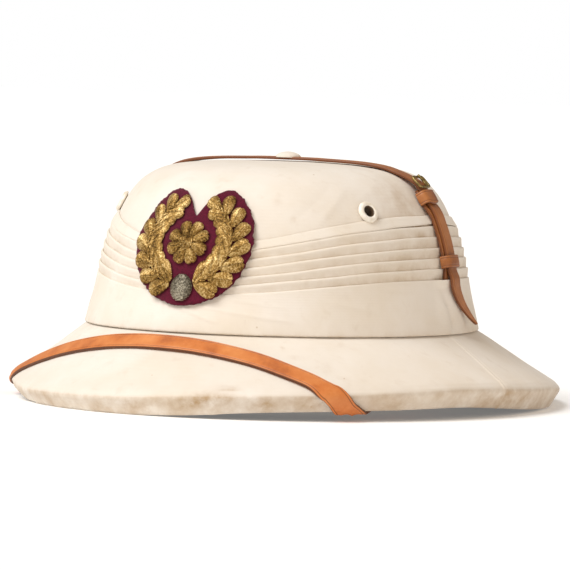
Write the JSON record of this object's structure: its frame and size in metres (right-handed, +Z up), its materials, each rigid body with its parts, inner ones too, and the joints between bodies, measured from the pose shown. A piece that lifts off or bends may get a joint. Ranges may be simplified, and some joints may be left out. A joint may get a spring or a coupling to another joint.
{
  "type": "pith helmet",
  "caption": "Cloth-covered cork sun helmet with a hollow crown, sloping brim, pleated band, embroidered badge, and leather chin and crown straps.",
  "frame": {"origin": "on the ground under the middle of the brim, at the bottom centre of the bounding box", "axes": "+Z up, the front of the helmet towards -Y, the wearer's left towards +X"},
  "size_m": [0.284, 0.348, 0.1352],
  "materials": {
    "cotton_drill": "off-white cotton drill, slightly soiled",
    "band_cloth": "off-white fine cotton cloth in folds",
    "lining_cloth": "dark green-black cotton cloth",
    "tan_leather": "smooth tan strap leather with a creased edge line",
    "brown_leather": "smooth brown strap leather, worn at the edges",
    "buckle_metal": "dull brass, tarnished",
    "white_paint": "white paint on brass, chipped at the hole",
    "crimson_felt": "deep crimson wool felt with a cut edge",
    "gold_bullion": "gold bullion wire embroidery, dulled with age",
    "silver_bullion": "tarnished silver bullion wire embroidery"
  },
  "bodies": {
    "root": {"crown": "cotton_drill", "brim": "cotton_drill", "brim_lining": "lining_cloth", "pleated_band": "band_cloth", "lower_band": "band_cloth", "vent_button": "cotton_drill", "vent_eyelet_left": "white_paint", "vent_eyelet_right": "white_paint", "badge_felt": "crimson_felt", "badge_spray_left": "gold_bullion", "badge_spray_right": "gold_bullion", "badge_rosette": "gold_bullion", "badge_tie": "silver_bullion", "chin_strap": "tan_leather", "strap_stud_left": "buckle_metal", "strap_stud_right": "buckle_metal", "crown_strap": "brown_leather", "buckle_strap": "brown_leather", "strap_loop": "brown_leather", "strap_keeper": "brown_leather", "strap_buckle": "buckle_metal", "buckle_prong": "buckle_metal"}
  },
  "joints": []
}
